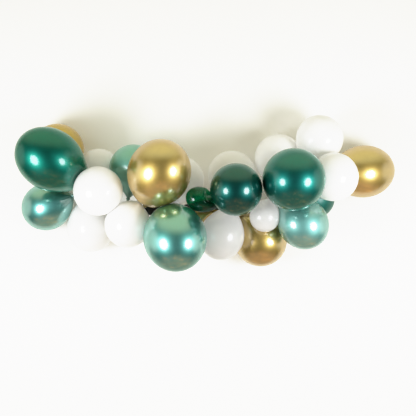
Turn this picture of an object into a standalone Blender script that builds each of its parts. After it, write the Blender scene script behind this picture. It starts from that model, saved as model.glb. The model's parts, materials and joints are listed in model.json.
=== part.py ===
"""A balloon garland: latex balloons in three layers, knotted along a flat black band.

Metres, +Z up. The garland hangs in front of a wall and is looked at along +Y, with +X to the right.
The origin is the middle of the band's back face, which is where the garland is held.
"""

from math import cos, pi, radians, sin
from typing import NamedTuple

import bmesh
import bpy
import numpy as np

# Widest diameters of the balloons, as inflated
LARGE = 0.261
FULL = 0.255
BIG = 0.236
MEDIUM = 0.213
FAIR = 0.205
MODEST = 0.194
TUCKED = 0.176
SMALL = 0.130
TINY = 0.104

# The tied end, which is the same on every balloon
NECK_RADIUS = 0.007
KNOT_RADIUS = 0.009
KNOT_LENGTH = 0.008
TAIL_LENGTH = 0.012
LIP_RADIUS = 0.011

# The band that carries the balloons
BAND_HEIGHT = 0.040
BAND_THICKNESS = 0.003
BAND_FROM_WALL = 0.190
BAND_STATION = 0.035

# Clear space left between pieces that touch
CONTACT_GAP = 0.0006
KNOT_CLEARANCE = 0.003

# How far the flattening reaches past the other balloon, as a share of its radius
PRESS_REACH = 0.05

# The most that a neck leans from the wall's plane, as a sine, and the spheres that fill a balloon
STEEPEST_LEAN = 0.95
SPHERES = 35

# Facets around a balloon, and rings along its crown side and its neck side
FACETS = 16
SMALL_FACETS = 12
CROWN_RINGS = 4
NECK_RINGS = 5


class Shape(NamedTuple):
    """A balloon's outline: its crown and its taper as multiples of the radius, and how full the taper is."""

    crown: float
    taper: float
    fullness: float


ROUND = Shape(crown=1.00, taper=1.30, fullness=0.80)
EGG = Shape(crown=1.08, taper=1.42, fullness=0.85)
OVAL = Shape(crown=1.16, taper=1.55, fullness=0.87)
PEAR = Shape(crown=1.22, taper=1.62, fullness=0.88)
DROP = Shape(crown=1.00, taper=1.22, fullness=1.25)


class Finish(NamedTuple):
    """A latex colour: base colour, roughness, metallic value and opacity."""

    colour: tuple
    roughness: float
    metallic: float
    opacity: float


FINISHES = {
    "dark_green_chrome": Finish((0.02, 0.19, 0.15), 0.24, 0.90, 1.0),
    "mint_chrome": Finish((0.24, 0.56, 0.47), 0.24, 0.90, 1.0),
    "gold_chrome": Finish((0.66, 0.45, 0.16), 0.22, 0.95, 1.0),
    "white_latex": Finish((0.90, 0.90, 0.88), 0.38, 0.0, 1.0),
    "emerald_latex": Finish((0.0, 0.16, 0.08), 0.12, 0.0, 0.65),
    "black_band": Finish((0.012, 0.013, 0.012), 0.60, 0.0, 1.0),
}


class Balloon(NamedTuple):
    """Where a balloon sits, in metres: across from the middle, out from the wall, up from the band's middle.

    neck_turn is the way its neck points across the wall, in degrees, 0 to the right and 90 up.
    neck_lean is the sine of its lean to the wall, for a neck that isn't knotted to the band.
    """

    finish: str
    diameter: float
    shape: Shape
    across: float
    out: float
    up: float
    neck_turn: float
    neck_lean: float | None = None


# Balloons that lie between the wall and the band, from left to right
BEHIND_BAND = {
    "gold_balloon_behind_left": Balloon("gold_chrome", BIG, ROUND, -0.670, 0.114, 0.244, -60),
    "mint_balloon_far_left": Balloon("mint_chrome", MEDIUM, EGG, -0.721, 0.104, -0.008, 20),
    "white_balloon_left_low": Balloon("white_latex", MEDIUM, ROUND, -0.523, 0.103, -0.103, 103),
    "white_balloon_left_behind": Balloon("white_latex", MODEST, ROUND, -0.489, 0.094, 0.155, -122),
    "white_balloon_centre_behind_left": Balloon("white_latex", MEDIUM, ROUND, -0.125, 0.103, 0.112, -108),
    "gold_balloon_centre_behind": Balloon("gold_chrome", TUCKED, ROUND, -0.006, 0.086, -0.056, 12),
    "white_balloon_centre_behind_right": Balloon("white_latex", MEDIUM, ROUND, 0.107, 0.103, 0.136, -34),
    "gold_balloon_low": Balloon("gold_chrome", BIG, ROUND, 0.234, 0.113, -0.156, 128),
    "white_balloon_right_top_left": Balloon("white_latex", MEDIUM, ROUND, 0.315, 0.103, 0.210, -95),
    "dark_green_balloon_right_behind": Balloon("dark_green_chrome", MODEST, ROUND, 0.471, 0.094, 0.034, 170),
    "gold_balloon_far_right": Balloon("gold_chrome", BIG, PEAR, 0.692, 0.115, 0.149, -175),
}

# Balloons in front of the band: a middle layer, then the layer nearest to the viewer
BEFORE_BAND = {
    "mint_balloon_left_behind": Balloon("mint_chrome", MEDIUM, DROP, -0.323, 0.190, 0.157, -100),
    "white_balloon_left_low_front": Balloon("white_latex", MODEST, ROUND, -0.337, 0.297, -0.083, 70),
    "mint_balloon_right_low": Balloon("mint_chrome", MEDIUM, EGG, 0.405, 0.256, -0.078, 128),
    "white_balloon_right_top": Balloon("white_latex", FAIR, ROUND, 0.484, 0.196, 0.288, -113),
    "white_balloon_right": Balloon("white_latex", FAIR, ROUND, 0.529, 0.298, 0.118, -159),
    "white_balloon_centre_low": Balloon("white_latex", MODEST, EGG, 0.058, 0.243, -0.132, 72),
    "white_balloon_small": Balloon("white_latex", SMALL, ROUND, 0.242, 0.255, -0.050, 74),
    "dark_green_balloon_far_left": Balloon("dark_green_chrome", FULL, PEAR, -0.653, 0.339, 0.188, -37),
    "white_balloon_left_front": Balloon("white_latex", FAIR, ROUND, -0.457, 0.334, 0.058, -156),
    "gold_balloon_front": Balloon("gold_chrome", LARGE, OVAL, -0.201, 0.368, 0.131, -118),
    "mint_balloon_front": Balloon("mint_chrome", LARGE, OVAL, -0.135, 0.378, -0.133, 105),
    "emerald_balloon_small": Balloon("emerald_latex", TINY, PEAR, -0.031, 0.350, 0.023, -20, 0.30),
    "dark_green_balloon_centre": Balloon("dark_green_chrome", MEDIUM, EGG, 0.114, 0.412, 0.062, -75),
    "dark_green_balloon_front": Balloon("dark_green_chrome", FULL, EGG, 0.346, 0.418, 0.103, -165),
}

BALLOONS = {**BEHIND_BAND, **BEFORE_BAND}

# The band's route, across and up, from its left end to its right one
BAND_ROUTE = (
    (-0.566, 0.045),
    (-0.500, 0.026),
    (-0.440, 0.002),
    (-0.390, -0.010),
    (-0.340, -0.015),
    (-0.300, -0.019),
    (-0.250, -0.024),
    (-0.190, -0.028),
    (-0.122, -0.023),
    (-0.050, -0.007),
    (0.000, 0.000),
    (0.080, -0.006),
    (0.157, -0.014),
    (0.235, -0.014),
    (0.262, -0.004),
    (0.285, 0.010),
    (0.310, 0.024),
    (0.345, 0.038),
    (0.420, 0.066),
)


def clear_scene():
    for item in list(bpy.data.objects):
        bpy.data.objects.remove(item, do_unlink=True)


def latex(name):
    """A Principled material with the finish's colour, roughness and metallic value."""
    finish = FINISHES[name]
    material = bpy.data.materials.new(name)
    material.use_nodes = True
    shader = material.node_tree.nodes["Principled BSDF"]
    shader.inputs["Base Color"].default_value = (*finish.colour, 1.0)
    shader.inputs["Roughness"].default_value = finish.roughness
    shader.inputs["Metallic"].default_value = finish.metallic
    shader.inputs["Alpha"].default_value = finish.opacity
    material.diffuse_color = (*finish.colour, finish.opacity)
    return material


def taper_radius(balloon, share):
    """The body's radius at a share of the way from its widest place to its neck."""
    radius = balloon.diameter / 2
    return NECK_RADIUS + (radius - NECK_RADIUS) * max(cos(share * pi / 2), 0.0) ** balloon.shape.fullness


def outline(balloon, crown_rings, neck_rings):
    """Rings as (along, radius) from crown to lip; along is 0 at the widest place and grows to the lip."""
    radius = balloon.diameter / 2
    rings = []
    for ring in range(1, crown_rings + 1):
        turn = ring / crown_rings * pi / 2
        rings.append((-balloon.shape.crown * radius * cos(turn), radius * sin(turn)))
    neck_end = balloon.shape.taper * radius
    for ring in range(1, neck_rings + 1):
        share = sin(ring / neck_rings * pi / 2)
        rings.append((neck_end * share, taper_radius(balloon, share)))
    rings.append((neck_end + KNOT_LENGTH / 2, KNOT_RADIUS))
    rings.append((neck_end + KNOT_LENGTH + TAIL_LENGTH, LIP_RADIUS))
    return rings


def crown_tip(balloon):
    return -balloon.shape.crown * balloon.diameter / 2


def centre_of(balloon):
    return np.array([balloon.across, BAND_FROM_WALL - balloon.out, balloon.up])


def lies_behind_band(balloon):
    return balloon in BEHIND_BAND.values()


def neck_direction(balloon):
    """The neck points as neck_turn says, and leans until its lip is beside the band's face."""
    lean = balloon.neck_lean
    if lean is None:
        reach = outline(balloon, CROWN_RINGS, NECK_RINGS)[-1][0]
        standoff = LIP_RADIUS + KNOT_CLEARANCE
        lip_y = standoff if lies_behind_band(balloon) else -BAND_THICKNESS - standoff
        lean = (lip_y - centre_of(balloon)[1]) / reach
        lean = min(max(lean, -STEEPEST_LEAN), STEEPEST_LEAN)
    turn = radians(balloon.neck_turn)
    level = (1 - lean**2) ** 0.5
    return np.array([level * cos(turn), lean, level * sin(turn)])


def inner_spheres(balloon):
    """Spheres along the axis that just touch the skin from inside: their centres and their radii."""
    rings = np.array([(crown_tip(balloon), 0.0)] + outline(balloon, 10 * CROWN_RINGS, 12 * NECK_RINGS))
    spots = np.linspace(rings[0, 0], rings[-1, 0], SPHERES + 1)[1:]
    radii = np.array([np.hypot(rings[:, 0] - spot, rings[:, 1]).min() for spot in spots])
    return centre_of(balloon) + spots[:, None] * neck_direction(balloon), radii


def contact_plane(spheres, others):
    """Where two balloons meet: a point and the direction to the second, or None if they are apart."""
    centres, radii = spheres
    other_centres, other_radii = others
    steps = other_centres[None, :] - centres[:, None]
    lengths = np.linalg.norm(steps, axis=2)
    gaps = lengths - radii[:, None] - other_radii[None, :]
    first, second = np.unravel_index(gaps.argmin(), gaps.shape)
    if gaps[first, second] > CONTACT_GAP:
        return None
    length = lengths[first, second]
    direction = steps[first, second] / length
    share = (length**2 + radii[first] ** 2 - other_radii[second] ** 2) / (2 * length)
    return centres[first] + direction * share, direction


def press_flat(points, plane, others):
    """Moves the points that have gone into the other balloon back to their own side of the contact plane."""
    place, direction = plane
    other_centres, other_radii = others
    beyond = (points - place) @ direction + CONTACT_GAP / 2
    depths = np.linalg.norm(points[:, None] - other_centres[None, :], axis=2) - other_radii[None, :]
    inside = depths.min(axis=1) < PRESS_REACH * other_radii.max()
    pressed = (beyond > 0) & inside
    points[pressed] -= beyond[pressed, None] * direction


def longest_facet(balloon):
    return balloon.shape.taper * balloon.diameter / 2 * sin(pi / 2 / NECK_RINGS)


def press_on_band(points, balloon):
    """Lays the skin that crosses the band flat on its front face, or on its back face from the wall's side.

    The flat goes a facet's length past the band, so that no facet cuts the band's edge.
    """
    line = np.array(band_line())
    margin = longest_facet(balloon)
    heights = np.interp(points[:, 0], line[:, 0], line[:, 1])
    beside = np.abs(points[:, 2] - heights) < BAND_HEIGHT / 2 + margin
    over = (points[:, 0] > line[0, 0] - margin) & (points[:, 0] < line[-1, 0] + margin)
    near = beside & over
    if lies_behind_band(balloon):
        points[near, 1] = np.maximum(points[near, 1], CONTACT_GAP)
    else:
        points[near, 1] = np.minimum(points[near, 1], -BAND_THICKNESS - CONTACT_GAP)


def skin_points(balloon, facets):
    """The skin's points in space, ring by ring, with the crown's tip first and the lip's middle last."""
    rings = outline(balloon, CROWN_RINGS, NECK_RINGS)
    along = neck_direction(balloon)
    side = np.cross(along, (0.0, 0.0, 1.0))
    side /= np.linalg.norm(side)
    rise = np.cross(side, along)
    centre = centre_of(balloon)
    points = [centre + crown_tip(balloon) * along]
    for place, radius in rings:
        for facet in range(facets):
            turn = 2 * pi * facet / facets
            points.append(centre + place * along + radius * (cos(turn) * side + sin(turn) * rise))
    points.append(centre + rings[-1][0] * along)
    return np.array(points)


def skin_faces(ring_count, facets):
    """Faces between the rings, closed at the crown and at the lip."""
    faces = []
    last = ring_count * facets + 1
    for facet in range(facets):
        following = (facet + 1) % facets
        faces.append((0, 1 + following, 1 + facet))
        for ring in range(ring_count - 1):
            low = 1 + ring * facets
            high = low + facets
            faces.append((low + facet, low + following, high + following, high + facet))
        low = last - facets
        faces.append((last, low + facet, low + following))
    return faces


def solid(name, points, faces, material):
    """A closed mesh object with its faces pointing out."""
    mesh = bpy.data.meshes.new(name)
    mesh.from_pydata([tuple(point) for point in points], [], faces)
    shape = bmesh.new()
    shape.from_mesh(mesh)
    bmesh.ops.triangulate(shape, faces=[face for face in shape.faces if len(face.verts) > 3])
    bmesh.ops.recalc_face_normals(shape, faces=shape.faces)
    shape.to_mesh(mesh)
    shape.free()
    mesh.shade_smooth()
    mesh.set_sharp_from_angle(angle=radians(50))
    mesh.materials.append(material)
    item = bpy.data.objects.new(name, mesh)
    bpy.context.scene.collection.objects.link(item)
    return item


def make_balloons(materials):
    spheres = {name: inner_spheres(balloon) for name, balloon in BALLOONS.items()}
    for name, balloon in BALLOONS.items():
        facets = SMALL_FACETS if balloon.diameter <= SMALL else FACETS
        points = skin_points(balloon, facets)
        for other in BALLOONS:
            if other == name:
                continue
            plane = contact_plane(spheres[name], spheres[other])
            if plane is not None:
                press_flat(points, plane, spheres[other])
        press_on_band(points, balloon)
        points[:, 1] = np.minimum(points[:, 1], BAND_FROM_WALL)
        faces = skin_faces(CROWN_RINGS + NECK_RINGS + 2, facets)
        solid(name, points, faces, materials[balloon.finish])


def band_line():
    """A smooth line through the route's points, as (across, up) and its slope, at even steps."""
    route = np.array(BAND_ROUTE)
    steps = int(np.ceil((route[-1, 0] - route[0, 0]) / BAND_STATION))
    slopes = np.gradient(route[:, 1], route[:, 0])
    line = []
    for across in np.linspace(route[0, 0], route[-1, 0], steps + 1):
        span = min(np.searchsorted(route[:, 0], across, side="right") - 1, len(route) - 2)
        width = route[span + 1, 0] - route[span, 0]
        share = (across - route[span, 0]) / width
        ease = share**2 * (3 - 2 * share)
        start = share * (1 - share) ** 2 * width * slopes[span]
        end = -(share**2) * (1 - share) * width * slopes[span + 1]
        up = (1 - ease) * route[span, 1] + ease * route[span + 1, 1] + start + end
        slope = (1 - share) * slopes[span] + share * slopes[span + 1]
        line.append((across, up, slope))
    return line


def make_band(material):
    """A flat strip that follows the route, with its back face in the plane through the origin."""
    points = []
    faces = []
    line = band_line()
    for across, up, slope in line:
        length = (1 + slope**2) ** 0.5
        lift = BAND_HEIGHT / 2 * np.array([-slope, 0.0, 1.0]) / length
        middle = np.array([across, 0.0, up])
        front = np.array([0.0, -BAND_THICKNESS, 0.0])
        points += [middle - lift, middle + lift, middle + lift + front, middle - lift + front]
    for station in range(len(line) - 1):
        low = 4 * station
        for corner in range(4):
            following = (corner + 1) % 4
            faces.append((low + corner, low + following, low + 4 + following, low + 4 + corner))
    last = 4 * (len(line) - 1)
    faces.append((3, 2, 1, 0))
    faces.append((last, last + 1, last + 2, last + 3))
    solid("carrying_band", points, faces, material)


def main():
    clear_scene()
    materials = {name: latex(name) for name in FINISHES}
    make_balloons(materials)
    make_band(materials["black_band"])


main()
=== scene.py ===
# %% [markdown]
# # A balloon garland, dressed for its picture
# A balloon garland is a row of latex balloons, knotted one by one along a band and pressed
# together until they hold each other in place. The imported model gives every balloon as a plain
# faceted solid in its right place. This lesson reads each solid's size and direction back from
# its corners, and puts a smooth latex skin over it.

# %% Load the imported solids
import json
from math import atan, pi, radians, sin
from typing import NamedTuple

import bpy
import numpy as np
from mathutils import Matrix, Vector


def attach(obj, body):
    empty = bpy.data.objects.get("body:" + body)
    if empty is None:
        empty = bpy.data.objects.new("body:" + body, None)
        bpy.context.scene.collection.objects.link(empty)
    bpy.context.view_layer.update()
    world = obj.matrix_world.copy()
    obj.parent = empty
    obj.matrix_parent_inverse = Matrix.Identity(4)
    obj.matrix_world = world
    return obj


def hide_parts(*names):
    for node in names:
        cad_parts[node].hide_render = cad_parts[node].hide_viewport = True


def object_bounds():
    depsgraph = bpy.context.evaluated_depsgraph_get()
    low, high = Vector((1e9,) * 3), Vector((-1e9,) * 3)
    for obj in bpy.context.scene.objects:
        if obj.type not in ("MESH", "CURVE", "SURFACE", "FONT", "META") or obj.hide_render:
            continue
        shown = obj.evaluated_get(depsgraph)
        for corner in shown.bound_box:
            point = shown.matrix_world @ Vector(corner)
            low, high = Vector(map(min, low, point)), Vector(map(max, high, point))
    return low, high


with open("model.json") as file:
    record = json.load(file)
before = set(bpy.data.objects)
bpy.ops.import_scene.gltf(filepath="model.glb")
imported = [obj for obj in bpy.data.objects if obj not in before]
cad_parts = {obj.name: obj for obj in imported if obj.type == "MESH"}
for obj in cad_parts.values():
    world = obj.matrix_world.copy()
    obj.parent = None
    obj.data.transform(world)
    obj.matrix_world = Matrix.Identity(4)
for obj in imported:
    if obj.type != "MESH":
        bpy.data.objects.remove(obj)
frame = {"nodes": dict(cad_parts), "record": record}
cad_low, cad_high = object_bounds()
finish_of = {entry["node"]: entry["material_slot"] for entry in frame["record"]["subparts"]}
balloon_nodes = sorted(name for name in frame["nodes"] if finish_of[name] != "black_band")
cad_box = [round(value, 3) for value in (*cad_low, *cad_high)]
print(len(balloon_nodes), "balloons, and a band; CAD box", cad_box)

# %% [markdown]
# ## Reading a balloon back from its solid
# Every balloon is a body of revolution: an elliptical crown, a widest ring, a taper to the neck,
# then the knot and the rolled lip. A first guess takes the corners farthest from the body as the
# lip. A fit then moves the centre and the tip, and changes the outline, until the corners lie on
# it. Corners that were pressed flat against a neighbour lie off the outline and would mislead a
# plain fit, so a corner counts less the farther it is off.

# %% Fit one balloon's outline to its corners
TIED_END = 0.020
NECK_RADIUS = 0.007
LIP_SHARE = 0.4
NECK_SHARE = 1.2
FIRST_CROWN = 1.1
FIRST_FULLNESS = 0.85
FIT_ROUNDS = 60
FIT_STEP = 1e-6
NEAR_ENOUGH = 5e-5


class Balloon(NamedTuple):
    """A balloon's place and outline: crown and taper are multiples of the radius."""

    centre: np.ndarray
    axis: np.ndarray
    radius: float
    crown: float
    taper: float
    fullness: float
    before_band: bool


def corner_points(node):
    mesh = frame["nodes"][node].data
    points = np.empty(len(mesh.vertices) * 3)
    mesh.vertices.foreach_get("co", points)
    return np.unique(points.reshape(-1, 3).round(6), axis=0)


def surface_middle(node):
    faces = frame["nodes"][node].data.polygons
    areas = np.array([face.area for face in faces])
    centres = np.array([face.center for face in faces])
    return (centres * areas[:, None]).sum(axis=0) / areas.sum()


def off_outline(points, values):
    """How far each corner is off the outline: values are centre, tip, radius, crown, fullness."""
    centre, tip, (radius, crown, fullness) = values[:3], values[3:6], values[6:]
    length = np.linalg.norm(tip - centre)
    axis = (tip - centre) / length
    along = (points - centre) @ axis
    across = np.linalg.norm(points - centre - along[:, None] * axis, axis=1)
    share = (along / (length - TIED_END)).clip(0, 1)
    width = NECK_RADIUS + (radius - NECK_RADIUS) * np.cos(share * pi / 2) ** fullness
    return np.where(along < 0, np.hypot(across, along / crown) - radius, across - width)


def measure_balloon(node):
    points = corner_points(node)
    body = surface_middle(node)
    reach = np.linalg.norm(points - body, axis=1)
    tip = points[reach > reach.max() - LIP_SHARE * TIED_END].mean(axis=0)
    points = points[reach < reach.max() - NECK_SHARE * TIED_END]
    values = np.array([*body, *tip, np.median(reach), FIRST_CROWN, FIRST_FULLNESS])
    steps = np.eye(len(values)) * FIT_STEP
    for _ in range(FIT_ROUNDS):
        gaps = off_outline(points, values)
        trust = 1 / np.sqrt(np.abs(gaps) + NEAR_ENOUGH)
        changes = [off_outline(points, values + step) - gaps for step in steps]
        slopes = np.array(changes).T / FIT_STEP
        values = values - np.linalg.lstsq(slopes * trust[:, None], gaps * trust, rcond=None)[0]
    length = np.linalg.norm(values[3:6] - values[:3])
    radius, crown, fullness = values[6:]
    axis = (values[3:6] - values[:3]) / length
    taper = (length - TIED_END) / radius
    before_band = values[4] < 0
    return Balloon(values[:3], axis, radius, crown, taper, fullness, before_band)


balloons = {node: measure_balloon(node) for node in balloon_nodes}
for node, balloon in balloons.items():
    shape = f"crown {balloon.crown:.3f}, taper {balloon.taper:.3f}"
    print(f"{node}: {2000 * balloon.radius:.1f} mm across, {shape}")

# %% [markdown]
# ## Reading the band
# The band's back face lies in the plane through the origin. Its corners come in pairs, one on
# each edge, so the middle of each pair is a point of the band's middle line.

# %% Measure the band
BACK_FACE_WITHIN = 1e-4
band_corners = corner_points("carrying_band")
back_corners = band_corners[band_corners[:, 1] > -BACK_FACE_WITHIN]
back_corners = back_corners[np.argsort(back_corners[:, 0])]
band_line = (back_corners[0::2] + back_corners[1::2]) / 2
band_width = np.median(np.linalg.norm(back_corners[0::2] - back_corners[1::2], axis=1))
band_thickness = -band_corners[:, 1].min()
band_size = f"{1000 * band_width:.1f} x {1000 * band_thickness:.1f} mm"
print("band:", len(band_line), "stations,", band_size)

# %% [markdown]
# ## A skin of revolution in Geometry Nodes
# All balloons follow one rule and differ only in their sizes, so one node tree makes them all. It
# starts from a flat grid whose first direction runs from crown to lip and whose second runs round
# the balloon, and moves each point to its place on the outline. Near the knot the latex gathers
# into pleats. The tied end is drawn by two curves, one for its radius and one for how far along
# it is, because a knot and a rolled lip follow no simple formula. Merging the points that fall
# together closes the seam and both ends.

# %% Helpers for building node trees
def calc(tree, operation, *values, clamp=False):
    """A Math node: each value is a number or a socket, and the result is a socket."""
    node = tree.nodes.new("ShaderNodeMath")
    node.operation = operation
    node.use_clamp = clamp
    for slot, value in zip(node.inputs, values):
        if isinstance(value, bpy.types.NodeSocket):
            tree.links.new(value, slot)
        else:
            slot.default_value = value
    return node.outputs[0]


def float_curve(tree, factor, points):
    """A Float Curve node through the given points."""
    node = tree.nodes.new("ShaderNodeFloatCurve")
    line = node.mapping.curves[0]
    line.points[0].location = points[0]
    line.points[1].location = points[-1]
    for point in points[1:-1]:
        line.points.new(*point)
    node.mapping.update()
    tree.links.new(factor, node.inputs["Value"])
    return node.outputs[0]


def smooth_step(tree, value, low, high, top=1.0):
    """A Map Range node that goes smoothly from 0 at low to top at high."""
    node = tree.nodes.new("ShaderNodeMapRange")
    node.interpolation_type = "SMOOTHSTEP"
    node.inputs["From Min"].default_value = low
    node.inputs["From Max"].default_value = high
    node.inputs["To Max"].default_value = top
    tree.links.new(value, node.inputs["Value"])
    return node.outputs["Result"]


# %% The skin's node tree
PLEATS_FROM = 0.72
WIDE_PLEATS = 9.0
FINE_PLEATS = 16.0
FINE_TURN = 1.3
FINE_SHARE = 0.6
SAME_POINT = 1e-5
CROWN_END = 0.38
NECK_END = 0.84
KNOT_RADII = (
    (0, 0.64), (0.08, 0.79), (0.18, 0.86), (0.30, 0.76), (0.38, 0.48), (0.48, 0.50), (0.60, 0.66),
    (0.71, 0.84), (0.78, 0.93), (0.84, 1.0), (0.89, 0.97), (0.93, 0.86), (0.97, 0.45), (1, 0),
)
KNOT_PLACES = (
    (0, 0), (0.08, 0.06), (0.18, 0.18), (0.30, 0.34), (0.38, 0.42), (0.48, 0.50), (0.60, 0.66),
    (0.71, 0.82), (0.78, 0.90), (0.84, 0.95), (0.89, 1.0), (0.93, 0.98), (0.97, 0.84), (1, 0.74),
)
SKIN_INPUTS = {
    "Radius": "NodeSocketFloat",
    "Crown": "NodeSocketFloat",
    "Taper": "NodeSocketFloat",
    "Fullness": "NodeSocketFloat",
    "Neck Radius": "NodeSocketFloat",
    "Lip Radius": "NodeSocketFloat",
    "Tied End": "NodeSocketFloat",
    "Pleat Depth": "NodeSocketFloat",
    # Shade is a painted shade: a share that darkens the balloon's colour for where it hangs.
    "Shade": "NodeSocketFloat",
    "Rings": "NodeSocketInt",
    "Segments": "NodeSocketInt",
    "Latex": "NodeSocketMaterial",
}


def make_skin_tree():
    tree = bpy.data.node_groups.new("balloon_skin", "GeometryNodeTree")
    for name, kind in SKIN_INPUTS.items():
        tree.interface.new_socket(name=name, in_out="INPUT", socket_type=kind)
    tree.interface.new_socket(name="Skin", in_out="OUTPUT", socket_type="NodeSocketGeometry")
    given = tree.nodes.new("NodeGroupInput").outputs
    grid = tree.nodes.new("GeometryNodeMeshGrid")
    grid.inputs["Size X"].default_value = 1.0
    grid.inputs["Size Y"].default_value = 1.0
    tree.links.new(given["Rings"], grid.inputs["Vertices X"])
    tree.links.new(given["Segments"], grid.inputs["Vertices Y"])
    parts = tree.nodes.new("ShaderNodeSeparateXYZ")
    tree.links.new(tree.nodes.new("GeometryNodeInputPosition").outputs[0], parts.inputs[0])
    way = calc(tree, "ADD", parts.outputs["X"], 0.5)
    turn = calc(tree, "MULTIPLY", calc(tree, "ADD", parts.outputs["Y"], 0.5), 2 * pi)
    rise = calc(tree, "MULTIPLY", calc(tree, "DIVIDE", way, CROWN_END, clamp=True), pi / 2)
    down = calc(tree, "SUBTRACT", way, CROWN_END)
    down = calc(tree, "DIVIDE", down, NECK_END - CROWN_END, clamp=True)
    share = calc(tree, "SINE", calc(tree, "MULTIPLY", down, pi / 2))
    tied = calc(tree, "DIVIDE", calc(tree, "SUBTRACT", way, NECK_END), 1 - NECK_END, clamp=True)
    crown_length = calc(tree, "MULTIPLY", given["Crown"], given["Radius"])
    taper_length = calc(tree, "MULTIPLY", given["Taper"], given["Radius"])
    along = calc(tree, "MULTIPLY", calc(tree, "COSINE", rise), crown_length)
    along = calc(tree, "MULTIPLY", along, -1.0)
    along = calc(tree, "MULTIPLY_ADD", share, taper_length, along)
    knot_place = float_curve(tree, tied, KNOT_PLACES)
    along = calc(tree, "MULTIPLY_ADD", knot_place, given["Tied End"], along)
    narrowing = calc(tree, "COSINE", calc(tree, "MULTIPLY", share, pi / 2))
    narrowing = calc(tree, "MAXIMUM", narrowing, 0.0)
    narrowing = calc(tree, "POWER", narrowing, given["Fullness"])
    over_neck = calc(tree, "SUBTRACT", given["Radius"], given["Neck Radius"])
    body = calc(tree, "MULTIPLY_ADD", narrowing, over_neck, given["Neck Radius"])
    body = calc(tree, "MULTIPLY", body, calc(tree, "SINE", rise))
    knot = calc(tree, "MULTIPLY", float_curve(tree, tied, KNOT_RADII), given["Lip Radius"])
    is_tied = calc(tree, "GREATER_THAN", way, NECK_END)
    is_body = calc(tree, "SUBTRACT", 1.0, is_tied)
    radius = calc(tree, "MULTIPLY_ADD", knot, is_tied, calc(tree, "MULTIPLY", body, is_body))
    gather = smooth_step(tree, share, PLEATS_FROM, 1.0)
    wide_pleats = calc(tree, "COSINE", calc(tree, "MULTIPLY", turn, WIDE_PLEATS))
    fine_pleats = calc(tree, "COSINE", calc(tree, "MULTIPLY_ADD", turn, FINE_PLEATS, FINE_TURN))
    wide_pleats = calc(tree, "MULTIPLY", wide_pleats, 1 - FINE_SHARE)
    pleats = calc(tree, "MULTIPLY_ADD", fine_pleats, FINE_SHARE, wide_pleats)
    depth = calc(tree, "MULTIPLY", gather, given["Pleat Depth"])
    pleats = calc(tree, "MULTIPLY", calc(tree, "ADD", pleats, 1.0), depth)
    radius = calc(tree, "MULTIPLY", radius, calc(tree, "SUBTRACT", 1.0, pleats))
    place = tree.nodes.new("ShaderNodeCombineXYZ")
    tree.links.new(along, place.inputs["X"])
    tree.links.new(calc(tree, "MULTIPLY", radius, calc(tree, "COSINE", turn)), place.inputs["Y"])
    tree.links.new(calc(tree, "MULTIPLY", radius, calc(tree, "SINE", turn)), place.inputs["Z"])
    store = tree.nodes.new("GeometryNodeStoreNamedAttribute")
    store.inputs["Name"].default_value = "gather"
    tree.links.new(grid.outputs["Mesh"], store.inputs["Geometry"])
    tree.links.new(gather, store.inputs["Value"])
    # Store each balloon's painted shade on its skin: a darkening of its colour for where it hangs.
    painted_shade_store = tree.nodes.new("GeometryNodeStoreNamedAttribute")
    painted_shade_store.inputs["Name"].default_value = "painted_shade"
    tree.links.new(store.outputs["Geometry"], painted_shade_store.inputs["Geometry"])
    tree.links.new(given["Shade"], painted_shade_store.inputs["Value"])
    shape = tree.nodes.new("GeometryNodeSetPosition")
    tree.links.new(painted_shade_store.outputs["Geometry"], shape.inputs["Geometry"])
    tree.links.new(place.outputs[0], shape.inputs["Position"])
    merge = tree.nodes.new("GeometryNodeMergeByDistance")
    merge.inputs["Distance"].default_value = SAME_POINT
    tree.links.new(shape.outputs["Geometry"], merge.inputs["Geometry"])
    smooth = tree.nodes.new("GeometryNodeSetShadeSmooth")
    tree.links.new(merge.outputs["Geometry"], smooth.inputs["Geometry"])
    real = tree.nodes.new("GeometryNodeRealizeInstances")
    tree.links.new(smooth.outputs["Geometry"], real.inputs["Geometry"])
    coat = tree.nodes.new("GeometryNodeSetMaterial")
    tree.links.new(real.outputs["Geometry"], coat.inputs["Geometry"])
    tree.links.new(given["Latex"], coat.inputs["Material"])
    result = tree.nodes.new("NodeGroupOutput")
    tree.links.new(coat.outputs["Geometry"], result.inputs["Skin"])
    return tree


skin_tree = make_skin_tree()
print("skin tree:", len(skin_tree.nodes), "nodes")

# %% Run a node tree and keep the result as a plain mesh
def grow(tree, name, **values):
    """The tree's result with these inputs, as a new mesh object at the origin."""
    maker = bpy.data.objects.new("maker", bpy.data.meshes.new("maker"))
    bpy.context.scene.collection.objects.link(maker)
    modifier = maker.modifiers.new("tree", "NODES")
    modifier.node_group = tree
    for item in tree.interface.items_tree:
        if item.in_out == "INPUT" and item.name in values:
            modifier[item.identifier] = values[item.name]
    graph = bpy.context.evaluated_depsgraph_get()
    mesh = bpy.data.meshes.new_from_object(maker.evaluated_get(graph), depsgraph=graph)
    bpy.data.objects.remove(maker)
    mesh.name = name
    piece = bpy.data.objects.new(name, mesh)
    bpy.context.scene.collection.objects.link(piece)
    return piece


# %% [markdown]
# ## Latex finishes
# Metallic latex is two layers. Flakes of pigment give a wide, soft, coloured reflection, which is
# the metallic part of the shader. Over them lies a clear glossy skin, which is its coat: it
# mirrors the lights and the neighbours sharply and without colour. The coat's index of refraction
# sets how strong that mirror is, and the mint latex has the strongest. A balloon that is blown up
# less keeps a thicker, duller skin, so a few of them have a finish of their own. Some of these
# finishes are also copies of a latex: the darker ones are painted shade and the paler ones painted
# light, for where those balloons hang. White latex is satin with a little gloss. Its emission is a
# painted glow that lifts its shaded sides, most of all in the two white balloons that stand between
# the others, which also have a darker colour as painted shade. The small emerald balloon is clear
# latex: light passes its thin skin without bending, so its index is close to one.

# %% Metallic latex
class Metal(NamedTuple):
    """The pigment's colour, grazing tint and roughness, then the skin's index and roughness."""

    pigment: tuple
    edge: tuple
    roughness: float
    skin_ior: float
    skin_roughness: float


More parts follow.
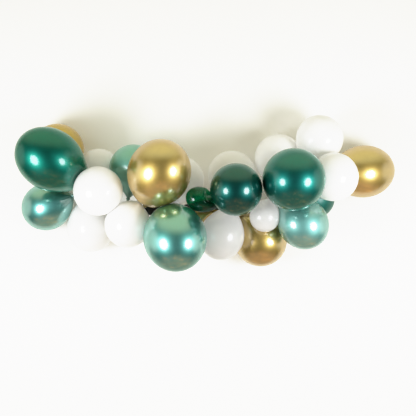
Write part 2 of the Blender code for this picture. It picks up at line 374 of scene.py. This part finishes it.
METALS = {
    "dark_green_chrome": Metal((0.009, 0.165, 0.135), (0.50, 0.95, 0.72), 0.44, 1.50, 0.16),
    "mint_chrome": Metal((0.115, 0.430, 0.370), (0.65, 1.00, 0.88), 0.43, 2.50, 0.19),
    "gold_chrome": Metal((0.610, 0.425, 0.100), (1.00, 0.90, 0.68), 0.44, 2.30, 0.20),
    "dark_green_chrome_deep": Metal((0.006, 0.158, 0.112), (0.42, 0.88, 0.62), 0.44, 1.43, 0.15),
    # Painted shade: a darker copy of the gold pigment for the balloon at the back, beside the
    # wall's shadow; its weaker, rougher skin is a finish of its own.
    "gold_chrome_soft_painted_shade": Metal((0.560, 0.400, 0.085), (1.00, 0.85, 0.55), 0.50, 1.50, 0.20),
    "dark_green_chrome_soft": Metal((0.015, 0.165, 0.125), (0.50, 0.95, 0.72), 0.65, 1.45, 0.35),
    # Painted reflection: a paler copy of the mint pigment brightens the lower half of the balloon
    # at the back, in place of the white balloon it mirrors; its rougher skin is a finish of its
    # own.
    "mint_chrome_soft_painted_reflection": Metal((0.210, 0.520, 0.420), (0.75, 1.00, 0.90), 0.65, 1.90, 0.30),
    # Painted light: a paler copy of the mint pigment for the low mint balloon, which is more
    # brightly lit where it hangs.
    "mint_chrome_pale_painted_light": Metal((0.230, 0.540, 0.480), (0.75, 1.00, 0.92), 0.55, 2.30, 0.17),
}
METAL_MOTTLE_SCALE = 30.0
METAL_MOTTLE_DEPTH = 0.06
ROUGHNESS_SPREAD = 0.02
MOTTLE_EDGES = (0.35, 0.65)
MOTTLE_DETAIL = 3.0
GATHERED_SHADE = 0.62


def principled(name):
    material = bpy.data.materials.new(name)
    material.use_nodes = True
    return material, material.node_tree, material.node_tree.nodes["Principled BSDF"]


def mottle(tree, shader, colour, scale, depth):
    """Varies a colour very slightly over the skin, darkens it where latex gathers and by painted
    shade.
    """
    place = tree.nodes.new("ShaderNodeTexCoord")
    noise = tree.nodes.new("ShaderNodeTexNoise")
    noise.inputs["Scale"].default_value = scale
    noise.inputs["Detail"].default_value = MOTTLE_DETAIL
    tree.links.new(place.outputs["Object"], noise.inputs["Vector"])
    shades = tree.nodes.new("ShaderNodeValToRGB")
    dark, light = shades.color_ramp.elements
    dark.position, light.position = MOTTLE_EDGES
    dark.color = (*(value * (1 - depth) for value in colour), 1)
    light.color = (*colour, 1)
    tree.links.new(noise.outputs["Fac"], shades.inputs["Fac"])
    gather = tree.nodes.new("ShaderNodeAttribute")
    gather.attribute_name = "gather"
    deepen = tree.nodes.new("ShaderNodeMix")
    deepen.data_type = "RGBA"
    deepen.inputs["B"].default_value = (*(value * GATHERED_SHADE for value in colour), 1)
    tree.links.new(gather.outputs["Fac"], deepen.inputs["Factor"])
    tree.links.new(shades.outputs["Color"], deepen.inputs["A"])
    # Painted shade: the colour is scaled down by the balloon's stored share, darker for where it
    # hangs.
    painted_shade = tree.nodes.new("ShaderNodeAttribute")
    painted_shade.attribute_name = "painted_shade"
    tint = tree.nodes.new("ShaderNodeMix")
    tint.data_type = "RGBA"
    tint.inputs["A"].default_value = (0, 0, 0, 1)
    tree.links.new(painted_shade.outputs["Fac"], tint.inputs["Factor"])
    tree.links.new(deepen.outputs["Result"], tint.inputs["B"])
    tree.links.new(tint.outputs["Result"], shader.inputs["Base Color"])
    return noise


def metallic_latex(name, metal):
    material, tree, shader = principled(name)
    noise = mottle(tree, shader, metal.pigment, METAL_MOTTLE_SCALE, METAL_MOTTLE_DEPTH)
    shader.inputs["Metallic"].default_value = 1.0
    shader.inputs["Specular Tint"].default_value = (*metal.edge, 1)
    rough = tree.nodes.new("ShaderNodeMapRange")
    rough.inputs["To Min"].default_value = metal.roughness - ROUGHNESS_SPREAD
    rough.inputs["To Max"].default_value = metal.roughness + ROUGHNESS_SPREAD
    tree.links.new(noise.outputs["Fac"], rough.inputs["Value"])
    tree.links.new(rough.outputs["Result"], shader.inputs["Roughness"])
    shader.inputs["Coat Weight"].default_value = 1.0
    shader.inputs["Coat IOR"].default_value = metal.skin_ior
    shader.inputs["Coat Roughness"].default_value = metal.skin_roughness
    return material


# %% White and clear latex
WHITE_LATEX = (0.84, 0.84, 0.83)
# White latex's emission is a painted glow: it lifts the shaded sides of the white balloons, though
# they are no lamp.
WHITE_PAINTED_GLOW = 0.10
# The two white balloons between the others: a darker copy of the white as painted shade, with a
# stronger painted glow.
PAINTED_SHADE_WHITE_LATEX = (0.36, 0.36, 0.355)
SHADED_WHITE_PAINTED_GLOW = 0.26
EMERALD_LATEX = (0.001, 0.165, 0.066)
LATEX_MOTTLE_SCALE = 24.0
WHITE_MOTTLE_DEPTH = 0.02
EMERALD_MOTTLE_DEPTH = 0.05


def white_latex(name, colour, painted_glow):
    material, tree, shader = principled(name)
    noise = mottle(tree, shader, colour, LATEX_MOTTLE_SCALE, WHITE_MOTTLE_DEPTH)
    shader.inputs["Roughness"].default_value = 0.30
    shader.inputs["Subsurface Weight"].default_value = 0.15
    shader.inputs["Subsurface Radius"].default_value = (1.0, 0.9, 0.8)
    shader.inputs["Subsurface Scale"].default_value = 0.006
    # Painted glow: the emission brightens the white latex everywhere, most visibly in its shaded
    # sides.
    shader.inputs["Emission Color"].default_value = (1.0, 1.0, 0.94, 1)
    shader.inputs["Emission Strength"].default_value = painted_glow
    shader.inputs["Coat Weight"].default_value = 0.4
    shader.inputs["Coat Roughness"].default_value = 0.08
    bump = tree.nodes.new("ShaderNodeBump")
    bump.inputs["Strength"].default_value = 0.03
    bump.inputs["Distance"].default_value = 0.001
    tree.links.new(noise.outputs["Fac"], bump.inputs["Height"])
    tree.links.new(bump.outputs["Normal"], shader.inputs["Normal"])
    return material


def clear_latex(name):
    material, tree, shader = principled(name)
    mottle(tree, shader, EMERALD_LATEX, LATEX_MOTTLE_SCALE, EMERALD_MOTTLE_DEPTH)
    shader.inputs["Transmission Weight"].default_value = 0.9
    shader.inputs["IOR"].default_value = 1.01
    shader.inputs["Roughness"].default_value = 0.05
    shader.inputs["Coat Weight"].default_value = 0.6
    shader.inputs["Coat Roughness"].default_value = 0.05
    return material


finishes = {
    **{name: metallic_latex(name, metal) for name, metal in METALS.items()},
    "white_latex": white_latex("white_latex", WHITE_LATEX, WHITE_PAINTED_GLOW),
    "white_latex_painted_shade_and_glow": white_latex("white_latex_painted_shade_and_glow", PAINTED_SHADE_WHITE_LATEX, SHADED_WHITE_PAINTED_GLOW),
    "emerald_latex": clear_latex("emerald_latex"),
}
print("finishes:", ", ".join(finishes))

# %% [markdown]
# ## Where balloons press on each other
# Two balloons that meet flatten against each other, and the flat lies where their surfaces would
# cross. A chain of spheres inside each balloon, just touching its skin, finds that plane: it is
# the plane of the circle in which the two spheres that reach deepest into each other cross. Each
# skin is then eased back to its own side of the plane. A soft minimum rounds the rim of the flat,
# as stretched latex does.

# %% Find the plane between two balloons
CONTACT_GAP = 0.0006
SPHERES = 48
CROWN_POINTS = 40
TAPER_POINTS = 60


def inner_spheres(balloon):
    """Centres and radii of spheres along the axis that touch the skin from inside."""
    turns = np.linspace(0, pi / 2, CROWN_POINTS)
    shares = np.linspace(0, 1, TAPER_POINTS)
    narrowing = np.cos(shares * pi / 2).clip(0) ** balloon.fullness
    body = NECK_RADIUS + (balloon.radius - NECK_RADIUS) * narrowing
    crown_places = -balloon.crown * balloon.radius * np.cos(turns)
    places = np.concatenate([crown_places, balloon.taper * balloon.radius * shares])
    widths = np.concatenate([balloon.radius * np.sin(turns), body])
    spots = np.linspace(places[0], places[-1] + TIED_END, SPHERES + 1)[1:]
    radii = np.array([np.hypot(places - spot, widths).min() for spot in spots])
    return balloon.centre + spots[:, None] * balloon.axis, radii


def contact_plane(spheres, others):
    """A point and the direction to the second balloon, or None where the two are apart."""
    steps = others[0][None, :] - spheres[0][:, None]
    lengths = np.linalg.norm(steps, axis=2)
    gaps = lengths - spheres[1][:, None] - others[1][None, :]
    first, second = np.unravel_index(gaps.argmin(), gaps.shape)
    if gaps[first, second] > CONTACT_GAP:
        return None
    length = lengths[first, second]
    direction = steps[first, second] / length
    share = (length**2 + spheres[1][first] ** 2 - others[1][second] ** 2) / (2 * length)
    return spheres[0][first] + direction * share, direction


spheres_of = {node: inner_spheres(balloon) for node, balloon in balloons.items()}
planes = {}
for node in balloons:
    for other in balloons:
        plane = contact_plane(spheres_of[node], spheres_of[other]) if other != node else None
        if plane is not None:
            planes[node, other] = plane
print(len(planes) // 2, "places where balloons press on each other")

# %% Ease a skin back from its neighbours, the wall and the band
RIM_SOFTNESS = 0.0012
NEIGHBOUR_REACH = (0.05, 0.30)
BAND_REACH = (0.004, 0.016)


def ease_back(beyond):
    """How far to move points that are beyond a plane by these distances, with a rounded rim."""
    return -RIM_SOFTNESS * np.logaddexp(0.0, -beyond / RIM_SOFTNESS) - beyond


def fade(values, near, far):
    """1 up to near and 0 from far on, smooth between."""
    share = ((values - near) / (far - near)).clip(0, 1)
    return 1 - share**2 * (3 - 2 * share)


def press_on_neighbours(points, node):
    for other in balloons:
        if (node, other) not in planes:
            continue
        place, direction = planes[node, other]
        centres, radii = spheres_of[other]
        distances = np.linalg.norm(points[:, None] - centres[None, :], axis=2)
        away = (distances - radii[None, :]).min(axis=1)
        weight = fade(away, *(share * radii.max() for share in NEIGHBOUR_REACH))
        moves = ease_back((points - place) @ direction + CONTACT_GAP / 2)
        points += (weight * moves)[:, None] * direction


def press_on_band(points, balloon):
    heights = np.interp(points[:, 0], band_line[:, 0], band_line[:, 2])
    above = (np.abs(points[:, 2] - heights) - band_width / 2).clip(0)
    beside = np.maximum(band_line[0, 0] - points[:, 0], points[:, 0] - band_line[-1, 0]).clip(0)
    weight = fade(np.hypot(above, beside), *BAND_REACH)
    if balloon.before_band:
        points[:, 1] += weight * ease_back(points[:, 1] + band_thickness + CONTACT_GAP)
    else:
        points[:, 1] -= weight * ease_back(CONTACT_GAP - points[:, 1])


def press_on_wall(points):
    points[:, 1] += ease_back(points[:, 1] - cad_high[1])


# %% [markdown]
# ## Making the balloons
# The tree makes a skin along the X axis. Each one is turned onto its balloon's own axis and moved
# into place in its mesh, so the object itself stays at the origin. The solids are inscribed in
# the round shapes, so a smooth skin at the garland's outer edge could pass the solids' box by a
# millimetre or two, and is drawn in by that.

# %% Make every balloon's skin
RINGS = 104
SEGMENTS = 96
LIP_RADIUS = 0.011
PLEAT_DEPTH = 0.045
# Painted shade: each listed balloon's colour is scaled by this share, darker for how light falls
# where it hangs.
PAINTED_SHADES = {
    "dark_green_balloon_centre": 0.55,
    "white_balloon_left_front": 0.93,
    "white_balloon_left_low": 0.92,
    "white_balloon_left_low_front": 0.92,
}
# Balloons with a finish of their own. The soft gold, the soft and pale mint and the darker white
# are copies that carry painted shade and painted light for where those balloons hang.
OWN_FINISHES = {
    "dark_green_balloon_far_left": "dark_green_chrome_deep",
    "gold_balloon_behind_left": "gold_chrome_soft_painted_shade",
    "mint_balloon_left_behind": "mint_chrome_soft_painted_reflection",
    "mint_balloon_right_low": "mint_chrome_pale_painted_light",
    "dark_green_balloon_right_behind": "dark_green_chrome_soft",
    "white_balloon_centre_low": "white_latex_painted_shade_and_glow",
    "white_balloon_small": "white_latex_painted_shade_and_glow",
}


def turned(points, axis):
    """Points of a shape along X, turned so that it lies along the axis."""
    side = np.cross(axis, (0.0, 0.0, 1.0))
    side /= np.linalg.norm(side)
    rise = np.cross(side, axis)
    return points[:, :1] * axis + points[:, 1:2] * side + points[:, 2:] * rise


def share_inside(points, centre):
    """The share of its size at which a skin stays in the solids' box, the wall's side left out."""
    low, high = np.array(cad_low), np.array(cad_high)
    high[1] = np.inf
    room = np.concatenate([centre - low, high - centre])
    reach = np.concatenate([(centre - points).max(axis=0), (points - centre).max(axis=0)])
    return min(1.0, (room[reach > 0] / reach[reach > 0]).min())


def make_balloon(node):
    balloon = balloons[node]
    piece = grow(
        skin_tree,
        node + "_skin",
        **{
            "Radius": balloon.radius,
            "Crown": balloon.crown,
            "Taper": balloon.taper,
            "Fullness": balloon.fullness,
            "Neck Radius": NECK_RADIUS,
            "Lip Radius": LIP_RADIUS,
            "Tied End": TIED_END,
            "Pleat Depth": PLEAT_DEPTH,
            "Shade": PAINTED_SHADES.get(node, 1.0),
            "Rings": RINGS,
            "Segments": SEGMENTS + 1,
            "Latex": finishes[OWN_FINISHES.get(node, finish_of[node])],
        },
    )
    mesh = piece.data
    points = np.empty(len(mesh.vertices) * 3)
    mesh.vertices.foreach_get("co", points)
    points = balloon.centre + turned(points.reshape(-1, 3), balloon.axis)
    points = balloon.centre + (points - balloon.centre) * share_inside(points, balloon.centre)
    press_on_neighbours(points, node)
    press_on_band(points, balloon)
    press_on_wall(points)
    mesh.vertices.foreach_set("co", points.ravel())
    mesh.update()
    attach(piece, "root")
    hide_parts(node)
    return piece


skins = [make_balloon(node) for node in balloons]
print(sum(len(piece.data.polygons) for piece in skins), "faces on", len(skins), "skins")

# %% [markdown]
# ## The band
# The band is a flat woven tape. Its shape is right as packed, so the solid stays, with a woven
# finish: fine ribs across it, from a wave texture, with a little noise so that no two ribs are
# the same.

# %% Woven tape
def woven_tape(name):
    material, tree, shader = principled(name)
    shader.inputs["Base Color"].default_value = (0.010, 0.011, 0.010, 1)
    shader.inputs["Roughness"].default_value = 0.75
    shader.inputs["Sheen Weight"].default_value = 0.15
    place = tree.nodes.new("ShaderNodeTexCoord")
    ribs = tree.nodes.new("ShaderNodeTexWave")
    ribs.inputs["Scale"].default_value = 130.0
    ribs.inputs["Distortion"].default_value = 0.6
    tree.links.new(place.outputs["Object"], ribs.inputs["Vector"])
    bump = tree.nodes.new("ShaderNodeBump")
    bump.inputs["Strength"].default_value = 0.6
    bump.inputs["Distance"].default_value = 0.0008
    tree.links.new(ribs.outputs["Fac"], bump.inputs["Height"])
    tree.links.new(bump.outputs["Normal"], shader.inputs["Normal"])
    return material


band = frame["nodes"]["carrying_band"]
band.data.materials.clear()
band.data.materials.append(woven_tape("black_band"))
print("band finish:", band.data.materials[0].name)

# %% [markdown]
# ## Wall, floor and light
# The garland hangs on a plain white wall. Wall and floor are one-sided: seen from behind or from
# below they are clear, so the garland's back and underside can be looked at too. Two large
# softboxes stand left and right of the camera, a little below the garland's height, so soft
# shadows fall above the balloons and every metallic balloon shows two bright windows.
#
# A balloon mirrors nearly the whole room, so the room decides how metallic latex looks. Here it
# is a gradient that only mirrored rays see: dark where the camera stands, pale at the sides and
# the ceiling, and warm below with a few soft patches. The wall is mirrored only down to the
# garland's lower edge and at half strength, which keeps the balloons' undersides dark.

# %% Wall and floor
WALL_SIZE = 6.0
WALL_GAP = 0.0005
FLOOR_DROP = 1.15
WALL_COLOUR = (0.93, 0.925, 0.895)
FLOOR_COLOUR = (0.66, 0.60, 0.54)
WALL_GLOW = 0.05
MIRRORED_HEIGHTS = (-0.60, -0.36)
MIRRORED_SHARE = 0.55


def flat_sheet(name, corners, material):
    mesh = bpy.data.meshes.new(name)
    mesh.from_pydata(corners, [], [range(4)])
    mesh.materials.append(material)
    sheet = bpy.data.objects.new(name, mesh)
    bpy.context.scene.collection.objects.link(sheet)
    return sheet


def clear_where(tree, shader, share):
    """Lets the shader's surface go clear by this share, from 0 to 1."""
    clear = tree.nodes.new("ShaderNodeBsdfTransparent")
    mix = tree.nodes.new("ShaderNodeMixShader")
    tree.links.new(share, mix.inputs["Fac"])
    tree.links.new(shader.outputs[0], mix.inputs[1])
    tree.links.new(clear.outputs[0], mix.inputs[2])
    tree.links.new(mix.outputs[0], tree.nodes["Material Output"].inputs["Surface"])


def wall_paint():
    material, tree, shader = principled("wall_paint")
    shader.inputs["Base Color"].default_value = (*WALL_COLOUR, 1)
    shader.inputs["Roughness"].default_value = 0.9
    shader.inputs["Emission Color"].default_value = (1.0, 1.0, 0.95, 1)
    shader.inputs["Emission Strength"].default_value = WALL_GLOW
    place = tree.nodes.new("ShaderNodeTexCoord")
    parts = tree.nodes.new("ShaderNodeSeparateXYZ")
    tree.links.new(place.outputs["Object"], parts.inputs[0])
    lit = smooth_step(tree, parts.outputs["Z"], *MIRRORED_HEIGHTS, MIRRORED_SHARE)
    mirrored = tree.nodes.new("ShaderNodeLightPath").outputs["Is Glossy Ray"]
    missing = calc(tree, "MULTIPLY", mirrored, calc(tree, "SUBTRACT", 1.0, lit))
    behind = tree.nodes.new("ShaderNodeNewGeometry").outputs["Backfacing"]
    clear_where(tree, shader, calc(tree, "MAXIMUM", behind, missing))
    return material


def floor_paint():
    material, tree, shader = principled("floor_paint")
    shader.inputs["Base Color"].default_value = (*FLOOR_COLOUR, 1)
    shader.inputs["Roughness"].default_value = 0.8
    clear_where(tree, shader, tree.nodes.new("ShaderNodeNewGeometry").outputs["Backfacing"])
    return material


wall_y = cad_high[1] + WALL_GAP
half = WALL_SIZE / 2
foot_left, foot_right = (-half, wall_y, -FLOOR_DROP), (half, wall_y, -FLOOR_DROP)
front_left, front_right = (-half, -half, -FLOOR_DROP), (half, -half, -FLOOR_DROP)
top_right, top_left = (half, wall_y, half), (-half, wall_y, half)
flat_sheet("wall", [foot_left, foot_right, top_right, top_left], wall_paint())
floor = flat_sheet("floor", [front_left, front_right, foot_right, foot_left], floor_paint())
floor.visible_glossy = False
print("wall at y =", round(wall_y, 4), "and floor at z =", -FLOOR_DROP)

# %% Softboxes
SOFTBOX = (0.72, 0.82)
SOFTBOX_PLACES = {"softbox_left": (-1.34, -1.45, -0.32), "softbox_right": (1.38, -1.45, -0.26)}
SOFTBOX_WATTS = 32.0
SOFTBOX_COLOUR = (0.97, 0.99, 1.05)
GARLAND_MIDDLE = (0.0, -0.10, 0.0)


def softbox(name, place):
    data = bpy.data.lights.new(name, "AREA")
    data.shape = "ELLIPSE"
    data.size, data.size_y = SOFTBOX
    data.energy = SOFTBOX_WATTS
    data.color = SOFTBOX_COLOUR
    lamp = bpy.data.objects.new(name, data)
    lamp.location = place
    aim = Vector(GARLAND_MIDDLE) - lamp.location
    lamp.rotation_euler = aim.to_track_quat("-Z", "Y").to_euler()
    lamp.visible_camera = False
    bpy.context.scene.collection.objects.link(lamp)
    return lamp


for name, place in SOFTBOX_PLACES.items():
    print(softbox(name, place).name, SOFTBOX, "m at", place)

# %% The room as a gradient
FILL_ABOVE = (0.62, 0.59, 0.42)
FILL_BELOW = (0.46, 0.44, 0.36)
CEILING = (1.02, 1.04, 0.70)
ROOM_SIDES = (1.10, 1.10, 0.98)
ROOM_FLOOR = (0.43, 0.37, 0.32)
FLOOR_PATCHES = (1.50, 0.85, 0.42)
WALL_SIDE = (0.66, 0.64, 0.54)
DARK_MIDDLE = (0.05, 0.06, 0.065)
SEEN_BEYOND_WALL = (0.93, 0.93, 0.92)
FILL_HEIGHTS = (-0.6, 0.6)
SIDES_FROM, SIDES_FULL = sin(radians(58)), sin(radians(76))
CEILING_FROM, CEILING_FULL = sin(radians(22)), sin(radians(54))
FLOOR_FROM, FLOOR_FULL = sin(radians(38)), sin(radians(62))
WALL_SIDE_DEPTHS = (0.1, 0.6)
PATCH_SCALE = 6.0
PATCH_EDGES = (0.52, 0.64)


def blend(tree, factor, first, second):
    """A colour between the first and the second: each is a colour or a socket."""
    node = tree.nodes.new("ShaderNodeMix")
    node.data_type = "RGBA"
    tree.links.new(factor, node.inputs["Factor"])
    for value, slot in ((first, node.inputs["A"]), (second, node.inputs["B"])):
        if isinstance(value, bpy.types.NodeSocket):
            tree.links.new(value, slot)
        else:
            slot.default_value = (*value, 1)
    return node.outputs["Result"]


def room():
    world = bpy.data.worlds.new("room")
    bpy.context.scene.world = world
    world.use_nodes = True
    tree = world.node_tree
    place = tree.nodes.new("ShaderNodeTexCoord")
    parts = tree.nodes.new("ShaderNodeSeparateXYZ")
    tree.links.new(place.outputs["Generated"], parts.inputs[0])
    height = parts.outputs["Z"]
    fill = blend(tree, smooth_step(tree, height, *FILL_HEIGHTS), FILL_BELOW, FILL_ABOVE)
    across = calc(tree, "ABSOLUTE", parts.outputs["X"])
    sides = smooth_step(tree, across, SIDES_FROM, SIDES_FULL)
    mirrored = blend(tree, sides, DARK_MIDDLE, ROOM_SIDES)
    above = smooth_step(tree, height, CEILING_FROM, CEILING_FULL)
    mirrored = blend(tree, above, mirrored, CEILING)
    at_wall = smooth_step(tree, parts.outputs["Y"], *WALL_SIDE_DEPTHS)
    mirrored = blend(tree, at_wall, mirrored, WALL_SIDE)
    spots = tree.nodes.new("ShaderNodeTexNoise")
    spots.inputs["Scale"].default_value = PATCH_SCALE
    tree.links.new(place.outputs["Generated"], spots.inputs["Vector"])
    patches = smooth_step(tree, spots.outputs["Fac"], *PATCH_EDGES)
    ground = blend(tree, patches, ROOM_FLOOR, FLOOR_PATCHES)
    below = smooth_step(tree, calc(tree, "MULTIPLY", height, -1.0), FLOOR_FROM, FLOOR_FULL)
    mirrored = blend(tree, below, mirrored, ground)
    rays = tree.nodes.new("ShaderNodeLightPath").outputs
    seen = blend(tree, rays["Is Glossy Ray"], fill, mirrored)
    seen = blend(tree, rays["Is Camera Ray"], seen, SEEN_BEYOND_WALL)
    tree.links.new(seen, tree.nodes["Background"].inputs["Color"])
    return world


print("world:", room().name)

# %% [markdown]
# ## The camera
# The photograph's camera looks level at the middle of the garland, square to the wall. Its
# distance and lens come from the pixels: five inch balloons give the scale, and the sizes of near
# and far balloons the distance.

# %% Camera
PHOTO_SIZE = 416
CAMERA_FROM_WALL = 3.35
FOCAL_PIXELS = 726.2
SENSOR_WIDTH = 36.0
LEVEL_ROW = 205


def camera():
    data = bpy.data.cameras.new("camera")
    data.sensor_width = SENSOR_WIDTH
    data.lens = SENSOR_WIDTH * FOCAL_PIXELS / PHOTO_SIZE
    item = bpy.data.objects.new("camera", data)
    item.location = (0.0, cad_high[1] - CAMERA_FROM_WALL, 0.0)
    tilt = atan((PHOTO_SIZE / 2 - LEVEL_ROW) / FOCAL_PIXELS)
    item.rotation_euler = (radians(90) - tilt, 0.0, 0.0)
    bpy.context.scene.collection.objects.link(item)
    bpy.context.scene.camera = item
    return item


print("lens", round(camera().data.lens, 2), "mm")

# %% Tone
TONE_CURVE = (
    (0, 0), (0.25, 0.50), (0.35, 0.70), (0.45, 0.86),
    (0.55, 0.93), (0.70, 0.958), (0.85, 0.97), (1.0, 1.0),
)
BRIGHTEST = 2.0


def tone(view):
    """The camera's tone: straight in the middle tones, with the brightest whites eased together."""
    view.view_transform = "Standard"
    view.use_curve_mapping = True
    view.curve_mapping.white_level = (BRIGHTEST,) * 3
    line = view.curve_mapping.curves[3]
    line.points[0].location = TONE_CURVE[0]
    line.points[1].location = TONE_CURVE[-1]
    for point in TONE_CURVE[1:-1]:
        line.points.new(*point)
    view.curve_mapping.update()


tone(bpy.context.scene.view_settings)
print("tone:", len(TONE_CURVE), "points up to", BRIGHTEST)
